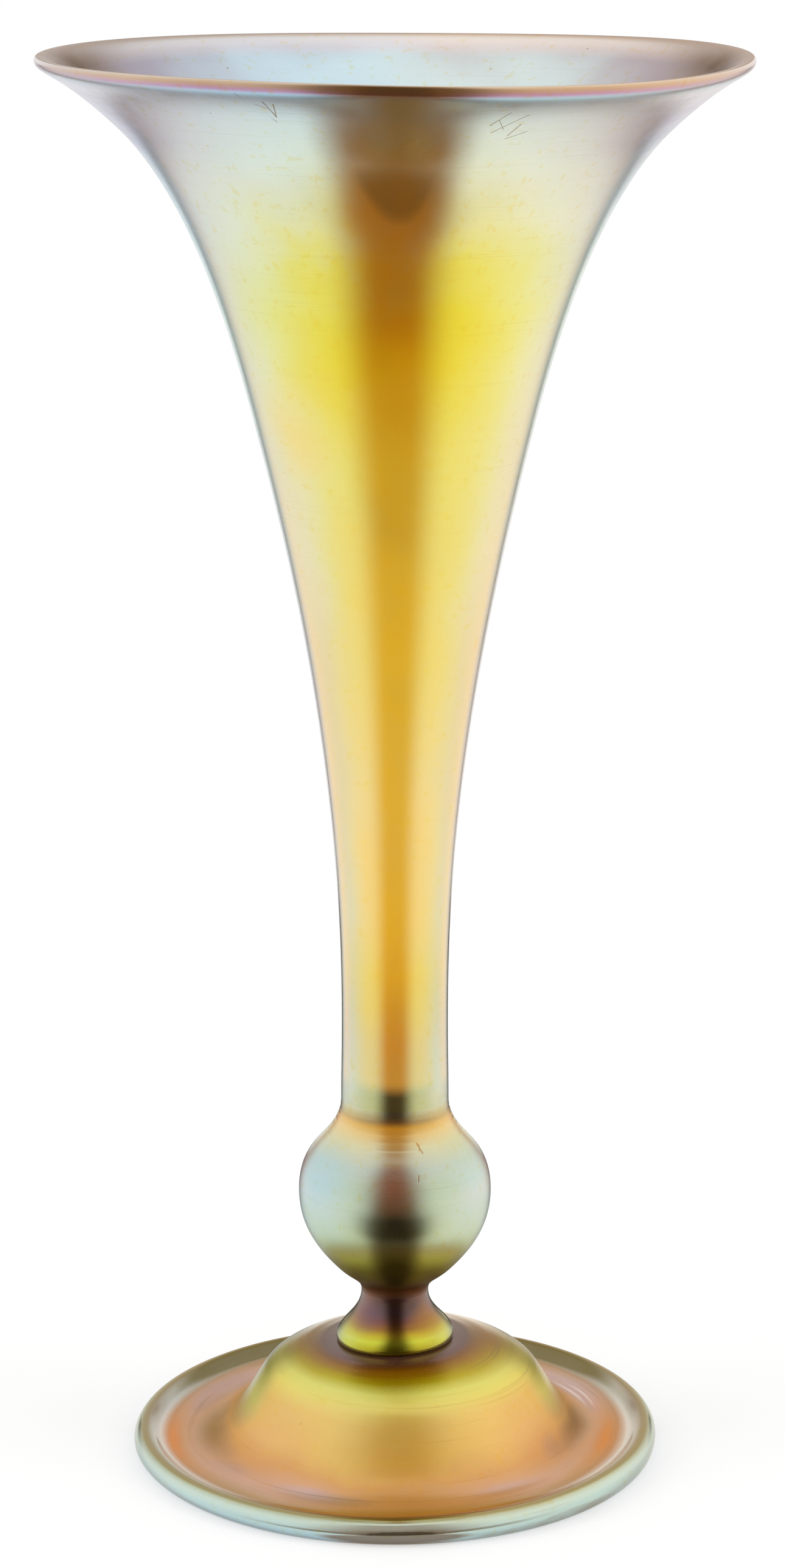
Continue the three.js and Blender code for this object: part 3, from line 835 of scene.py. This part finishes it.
FOOT_RIMS = [
    (15, (0.14, 0.09, 0.09), 0.55),
    (18.5, (0.12, 0.07, 0.06), 0.60),
    (20.5, (0.19, 0.10, 0.05), 0.95),
    (25, (0.24, 0.11, 0.01), 1.0),
    (29, (0.25, 0.19, 0.01), 1.0),
    (33, (0.41, 0.36, 0.06), 1.0),
    (38, (0.60, 0.54, 0.12), 0.95),
    (42, (0.46, 0.38, 0.18), 0.7),
    (46, (0.38, 0.28, 0.22), 0.5),
    (50, (0.46, 0.42, 0.44), 0.5),
    (55, (0.40, 0.32, 0.26), 0.5),
    (58.4, (0.36, 0.23, 0.12), 0.5),
    (59.5, (0.44, 0.33, 0.24), 0.7),
    # The pale rim from 59.5 to 62.4 mm goes with the painted highlight on the rolled rim.
    (60.8, (0.68, 0.66, 0.61), 0.7),
    (62.4, (0.52, 0.49, 0.44), 0.7),
    (64.2, (0.30, 0.26, 0.16), 0.7),
    (65.4, (0.30, 0.26, 0.12), 0.7),
    (66.1, (0.36, 0.42, 0.32), 0.7),
    (66.9, (0.40, 0.54, 0.50), 0.75),
    (67.7, (0.42, 0.62, 0.68), 0.75),
    (69, (0.34, 0.52, 0.62), 0.75),
]
# Seen edge on, the side of the dome ends in a pale line
FOOT_EDGES = [
    (15, (0.92, 0.88, 0.90), 0.8),
    (38, (0.96, 0.93, 0.84), 0.85),
    (43, (0.90, 0.88, 0.80), 0.0),
    (67.7, (0.90, 0.88, 0.80), 0.0),
]

# Patches: middle and reach, each in degrees from the front to the right and in mm of level or
# radius, share of the reach that is even, colour of the film, and its cover. The dark ones at
# the front are painted reflection of what the glass mirrors there; on the foot some are
# painted shade and painted highlight.
BOWL_PATCHES_AND_PAINTED_REFLECTION = [
    # The dark patch at the front under the lip is painted reflection of the dark stripe that the
    # flare mirrors.
    ((0, 340), (18, 34), 0.45, (0.09, 0.045, 0.015), 0.80),
    ((-44, 270), (24, 15), 0.0, (0.84, 0.74, 0.26), 0.55),
]
KNOP_PATCHES_AND_PAINTED_REFLECTION = [
    ((-56, 78), (35, 10), 0.2, (0.34, 0.88, 1.0), 0.5),
    # The two dark patches at the front are painted reflection of the dark stripe that the ball
    # mirrors.
    ((0, 61), (21, 19), 0.35, (0.10, 0.07, 0.02), 0.82),
    ((0, 52), (26, 11), 0.3, (0.05, 0.04, 0.01), 0.88),
]
COLLAR_PATCHES = [
    ((-45, 37.5), (38, 5), 0.2, (0.30, 0.17, 0.24), 0.5),
    ((49, 36), (38, 5), 0.2, (0.76, 0.36, 0.05), 0.5),
]
FOOT_PATCHES_AND_PAINTED_LIGHT = [
    # At -58 and 62 degrees the darker mauve patches are painted shade where the light falls off
    # towards the sides.
    ((-58, 50), (30, 9), 0.0, (0.46, 0.31, 0.40), 0.6),
    ((-22, 51), (36, 8), 0.0, (0.70, 0.56, 0.66), 0.85),
    ((34, 51), (32, 8), 0.0, (0.68, 0.50, 0.52), 0.7),
    ((62, 46), (22, 9), 0.0, (0.42, 0.25, 0.28), 0.65),
    ((-118, 53), (36, 8), 0.3, (0.46, 0.28, 0.29), 0.75),
    ((116, 53), (34, 8), 0.3, (0.54, 0.40, 0.43), 0.75),
    # The pale arcs at the back right are painted highlight.
    ((113, 51), (15, 1.0), 0.2, (0.95, 0.90, 0.92), 0.6),
    ((111, 53.5), (13, 0.6), 0.2, (0.95, 0.90, 0.92), 0.55),
    # The dark patches where the dome meets the trough at the sides are painted shade.
    ((-86, 48), (52, 9), 0.0, (0.30, 0.15, 0.03), 0.95),
    ((84, 47), (48, 9), 0.0, (0.30, 0.14, 0.04), 0.95),
    ((-82, 57.5), (40, 5.5), 0.0, (0.66, 0.22, 0.05), 0.95),
    ((80, 56), (42, 6.5), 0.0, (0.66, 0.22, 0.03), 0.95),
    # The dark patch at the front of the brim is painted reflection.
    ((0, 61.6), (42, 3.9), 0.6, (0.15, 0.07, 0.01), 0.98),
    ((-97, 63), (16, 3), 0.0, (0.22, 0.16, 0.10), 0.85),
    ((97, 63), (16, 3), 0.0, (0.22, 0.16, 0.10), 0.85),
    ((-145, 62), (58, 5), 0.4, (0.14, 0.10, 0.01), 0.95),
    ((145, 62), (58, 5), 0.4, (0.14, 0.10, 0.01), 0.95),
    ((-150, 65.2), (60, 1.1), 0.0, (0.46, 0.28, 0.05), 0.7),
    ((150, 65.2), (60, 1.1), 0.0, (0.46, 0.28, 0.05), 0.7),
    # The dark front of the rim is painted reflection, and the black ends of the rim at the sides
    # are painted shade.
    ((0, 68.35), (18.5, 1.05), 0.7, (0.16, 0.09, 0.045), 0.85),
    ((-97, 68.2), (7, 1.0), 0.4, (0.04, 0.04, 0.04), 0.9),
    ((97, 68.2), (7, 1.0), 0.4, (0.04, 0.04, 0.04), 0.9),
]

# Turns of the tool per metre, outwards and upwards
ROUND_AND_UP = (1500.0, 1500.0)
UPWARDS = (0.0, 1400.0)
ON_FOOT = (640.0, -360.0)

# The whole look of each finish. "along" says what the levels are: height or radius. "rough" is
# the roughness by level, "ring_depth" is in mm, and "far_edge" tints what the film mirrors edge on.
BOWL_LOOK = {
    "along": "height", "bands": BOWL_BANDS, "wander": BOWL_WANDER, "rims": BOWL_RIMS,
    "rough": [(94, 0.20), (300, 0.20), (325, 0.21), (346, 0.22), (356, 0.22)],
    "slants": (0.08, 0.48, 0.34, 0.84), "patches": BOWL_PATCHES_AND_PAINTED_REFLECTION,
    "rings": ROUND_AND_UP, "ring_depth": 0.005,
}
INSIDE_LOOK = {
    "along": "height", "bands": INSIDE_BANDS, "wander": INSIDE_WANDER, "rims": INSIDE_RIMS,
    "rough": [(94, 0.24), (356, 0.22)], "slants": (0.3, 0.58, 0.60, 0.84),
    "rings": ROUND_AND_UP, "ring_depth": 0.004, "far_edge": (0.45, 0.36, 0.30),
}
KNOP_LOOK = {
    "along": "height", "bands": KNOP_BANDS_AND_PAINTED_SHADE, "wander": KNOP_WANDER, "rims": KNOP_RIMS,
    "rough": [(42.2, 0.44), (54, 0.46), (64, 0.30), (94.2, 0.24)],
    "slants": (0.04, 0.46, 0.5, 1.0), "patches": KNOP_PATCHES_AND_PAINTED_REFLECTION,
    "rings": UPWARDS, "ring_depth": 0.007,
}
COLLAR_LOOK = {
    "along": "height", "bands": COLLAR_BANDS, "wander": COLLAR_WANDER, "rims": COLLAR_RIMS,
    "rough": [(28.9, 0.20), (42.2, 0.26)], "patches": COLLAR_PATCHES,
    "rings": UPWARDS, "ring_depth": 0.006,
}
FOOT_LOOK = {
    "along": "radius", "bands": FOOT_BANDS_AND_PAINTED_HIGHLIGHT, "wander": FOOT_WANDER, "rims": FOOT_RIMS,
    "rough": [
        (15, 0.26), (28, 0.28), (36, 0.38), (50, 0.36), (56, 0.26), (58.5, 0.14), (67.7, 0.14),
    ],
    "slants": (0.04, 0.46, 0.34, 0.70), "edges": FOOT_EDGES, "patches": FOOT_PATCHES_AND_PAINTED_LIGHT,
    "rings": ON_FOOT, "ring_depth": 0.02, "ring_shade": 0.55, "far_edge": (0.94, 0.87, 0.76),
}
# Radii between which a plain finish is the same
PLAIN_SPAN = (0, 100)


def on_outline(outline, level, degrees):
    """The place on a turned outline at a level and at an angle from the front to the right."""
    for here, there in zip(outline, outline[1:]):
        if here.y <= level <= there.y:
            share = (level - here.y) / max(there.y - here.y, 0.001)
            radius = here.x + (there.x - here.x) * share
            angle = math.radians(degrees)
            return Vector((radius * math.sin(angle), -radius * math.cos(angle), level)) * MM
    raise ValueError(level)


def marks_on(outline, lines):
    """The ends and width of scratches in metres, on the glass."""
    return [
        (on_outline(outline, *start), on_outline(outline, *end), width * MM)
        for start, end, width in lines
    ]


# Scratches: (level, degrees from the front) of both ends, and the width in mm
BOWL_SCRATCHES = [
    ((351.0, -21.2), (347.4, -20.4), 0.34),
    ((350.6, -19.6), (347.4, -20.4), 0.272),
    ((353.0, -25.0), (346.2, -20.8), 0.17),
    ((350.4, -22.8), (349.2, -20.9), 0.17),
    ((349.6, 19.0), (346.4, 16.4), 0.204),
    ((349.0, 22.4), (344.6, 17.2), 0.17),
    ((346.6, 22.0), (343.8, 20.6), 0.238),
    ((347.8, 17.6), (345.4, 19.2), 0.136),
    ((344.8, 24.0), (343.0, 20.4), 0.136),
]
KNOP_SCRATCHES = [
    ((86.6, 19.6), (84.4, 23.0), 0.374),
    ((86.2, 21.4), (85.0, 20.8), 0.306),
    ((80.0, 16.0), (78.6, 15.2), 0.204),
]

# Faces are told apart by how far they look up, as the Z of their normal
LIP_LOOKS_UP = 0.85
GROUND_LOOKS_UP = -0.999
GROUND_LEVEL = 0.05
UNDERSIDE_RADIUS = FOOT_RADIUS - 3.4


def plain_lustre(name, glass, film, cover, rough):
    """For faces that nobody sees much: under the foot and on its ground ring."""
    return lustre(name, {
        "along": "radius",
        "bands": [(at, glass, cover, film, film) for at in PLAIN_SPAN],
        "wander": [(at, 1.0) for at in PLAIN_SPAN],
        "rims": [(at, (0.66, 0.82, 0.84), 0.75) for at in PLAIN_SPAN],
        "rough": [(at, rough) for at in PLAIN_SPAN],
        "rings": (1500.0, 0.0), "ring_depth": 0.006,
    })


def finish_bowl(piece, outline):
    marks = marks_on(outline, BOWL_SCRATCHES)
    piece.data.materials.append(lustre("lustre_outside", BOWL_LOOK, marks))
    piece.data.materials.append(lustre("lustre_inside", INSIDE_LOOK))
    for face in piece.data.polygons:
        x, y, z = face.center
        looks_inwards = face.normal.x * x + face.normal.y * y < 0
        if (looks_inwards or face.normal.z > LIP_LOOKS_UP) and z > (NECK_LEVEL + 1) * MM:
            face.material_index = 1


def finish_knop(piece, outline):
    marks = marks_on(outline, KNOP_SCRATCHES)
    piece.data.materials.append(lustre("lustre_knop", KNOP_LOOK, marks))


def finish_foot(piece):
    for material in (
        lustre("lustre_top", FOOT_LOOK),
        plain_lustre("amber_underside", (0.42, 0.20, 0.03), (0.62, 0.52, 0.34), 0.35, 0.24),
        plain_lustre("ground_ring", (0.46, 0.33, 0.18), (0.40, 0.36, 0.28), 0.15, 0.62),
    ):
        piece.data.materials.append(material)
    for face in piece.data.polygons:
        x, y, z = face.center
        if face.normal.z < GROUND_LOOKS_UP and z < GROUND_LEVEL * MM:
            face.material_index = 2
        elif face.normal.z < 0 and math.hypot(x, y) < UNDERSIDE_RADIUS * MM:
            face.material_index = 1


# ---------------------------------------------------------------- studio

FILL_LIGHT = 0.8

# Floor, in metres: its radius, and how far from the axis it turns plain white
FLOOR_RADIUS = 9
FLOOR_FADE = (0.06, 0.22)

LAMP_SIZE = (0.8, 1.2)
LAMP_POWER = 8
LAMP_AIM = Vector((0, 0, 0.18))

CAMERA_LENS = 97.33  # mm, on a frame of 36 mm
CAMERA_PLACE = (-0.0006, -1.0308, 0.4316)
CAMERA_TILT = 76.081  # degrees up from straight down

# Cards, as (radius, level) in metres and as degrees: middle and half width
FRONT_CARD = [
    (0.075, 0.001), (0.6, 0.001), (1.6, 0.001), (1.75, 0.3), (1.75, 1.4), (1.2, 2.1), (0.7, 2.5),
]
CLOSE_CARD = [(0.092, 0.0015), (0.15, 0.0015), (0.24, 0.0015)]
NEAR_EDGE_CARD = [(0.078, 0.001), (0.3, 0.001), (0.5, 0.001)]
FAR_EDGE_CARD = [(0.5, 0.001), (1.2, 0.001), (1.2, 0.25)]
CARD_STEPS = 16


def make_floor():
    """Shows the vase's shadow close by and fades to plain white round it."""
    bpy.ops.object.select_all(action="DESELECT")
    bpy.ops.mesh.primitive_circle_add(
        vertices=96, radius=FLOOR_RADIUS, fill_type="NGON", location=(0, 0, 0)
    )
    floor = bpy.context.active_object
    floor.name = "studio_floor"
    material, f, pale = new_material("pale_floor", {
        "Base Color": (0.97, 0.97, 0.97, 1), "Roughness": 0.8, "Specular IOR Level": 0.0,
    })
    reach = f.vector("LENGTH", f.add("ShaderNodeTexCoord").outputs["Object"])
    share = f.math("MULTIPLY", f.spread(reach, *FLOOR_FADE, 0.5, 1.0), f.seen_directly())
    f.show(share, pale, f.add("ShaderNodeEmission", {"Strength": 1.0}))
    floor.data.materials.append(material)


def black_paper(name, side, height=None):
    """Black paper that thins out to clear, and that only mirrors on its upper or inner side see.

    Each pair is (clear, full): shares of the radius to the side, or metres up."""
    material, f, black = new_material(name, {
        "Base Color": (0.02, 0.02, 0.02, 1), "Roughness": 1, "Specular IOR Level": 0.0,
    })
    place = f.add("ShaderNodeTexCoord").outputs["Object"]
    parts = f.add("ShaderNodeSeparateXYZ", {"Vector": place}).outputs
    from_axis = f.vector("LENGTH", f.vector("MULTIPLY", place, (1, 1, 0)))
    aside = f.math("DIVIDE", f.math("ABSOLUTE", parts["X"]), from_axis)
    shown = f.math("SUBTRACT", 1.0, f.add("ShaderNodeNewGeometry").outputs["Backfacing"])
    shown = f.math("MULTIPLY", shown, f.spread(aside, *side))
    if height:
        shown = f.math("MULTIPLY", shown, f.spread(parts["Z"], *height))
    f.show(shown, f.add("ShaderNodeBsdfTransparent"), black)
    return material


def make_card(name, outline, middle, half_width, paper):
    """A card bent round the axis, that only mirrors see."""
    angle = math.radians(middle - half_width)
    x, y = math.sin(angle), -math.cos(angle)
    radius, level = outline[0]
    moves = []
    for (near, low), (far, high) in zip(outline, outline[1:]):
        moves.append((x * (far - near), y * (far - near), high - low))
    start = (x * radius, y * radius, level)
    card = spun(name, start, moves, CARD_STEPS, -math.radians(2 * half_width))
    if sum(face.normal.z for face in card.data.polygons) < 0:
        card.data.flip_normals()
    card.data.materials.append(paper)
    card.visible_camera = False
    card.visible_diffuse = False
    card.visible_transmission = False
    card.visible_volume_scatter = False
    card.visible_shadow = False


def make_world():
    world = bpy.data.worlds.new("white_studio")
    bpy.context.scene.world = world
    world.use_nodes = True
    w = Nodes(world.node_tree)
    background = world.node_tree.nodes["Background"]
    background.inputs["Color"].default_value = (1, 1, 1, 1)
    w.feed(background.inputs["Strength"], w.spread(w.seen_directly(), 0.0, 1.0, FILL_LIGHT, 1.0))


def set_up(name, data, place):
    holder = bpy.data.objects.new(name, data)
    bpy.context.scene.collection.objects.link(holder)
    holder.location = place
    return holder


def make_lamp(name, place):
    lamp = bpy.data.lights.new(name, "AREA")
    lamp.shape = "RECTANGLE"
    lamp.size, lamp.size_y = LAMP_SIZE
    lamp.energy = LAMP_POWER
    holder = set_up(name, lamp, place)
    aim = LAMP_AIM - Vector(place)
    holder.rotation_euler = aim.to_track_quat("-Z", "Y").to_euler()
    holder.visible_glossy = False


def make_camera():
    camera = bpy.data.cameras.new("photo_camera")
    camera.lens = CAMERA_LENS
    camera.sensor_width = 36
    camera.clip_start = 0.05
    holder = set_up("photo_camera", camera, CAMERA_PLACE)
    holder.rotation_euler = (math.radians(CAMERA_TILT), 0, 0)
    bpy.context.scene.camera = holder


# ---------------------------------------------------------------- vase and studio

bowl, bowl_outline = make_bowl()
finish_bowl(bowl, bowl_outline)
knop, knop_outline = make_knop()
finish_knop(knop, knop_outline)
collar = make_collar()
collar.data.materials.append(lustre("lustre_collar", COLLAR_LOOK))
foot = make_foot()
finish_foot(foot)
for piece, node, slot in (
    (bowl, "trumpet_bowl", "bowl_lustre"),
    (knop, "ball_knop", "knop_lustre"),
    (collar, "stem_collar", "collar_lustre"),
    (foot, "foot", "foot_lustre"),
):
    settle(piece)
    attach(piece, "root")
    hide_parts(node)

make_floor()
front = black_paper("front_paper", (0.77, 0.21), height=(2.5, 2.2))
edge = black_paper("edge_paper", (0.76, 0.30))
close_by = black_paper("paper_close_by", (0.86, 0.36))
make_card("front_gap", FRONT_CARD, 0, 48, front)
make_card("front_close_by", CLOSE_CARD, 0, 58, close_by)
for way in (-1, 1):
    make_card("near_edge", NEAR_EDGE_CARD, way * 148.5, 18.5, edge)
    make_card("far_edge", FAR_EDGE_CARD, way * 143, 13, edge)
make_world()
make_lamp("left_box", (-1.3, -0.3, 0.8))
make_lamp("right_box", (1.3, -0.3, 0.8))
make_camera()
bpy.context.scene.view_settings.view_transform = "Standard"
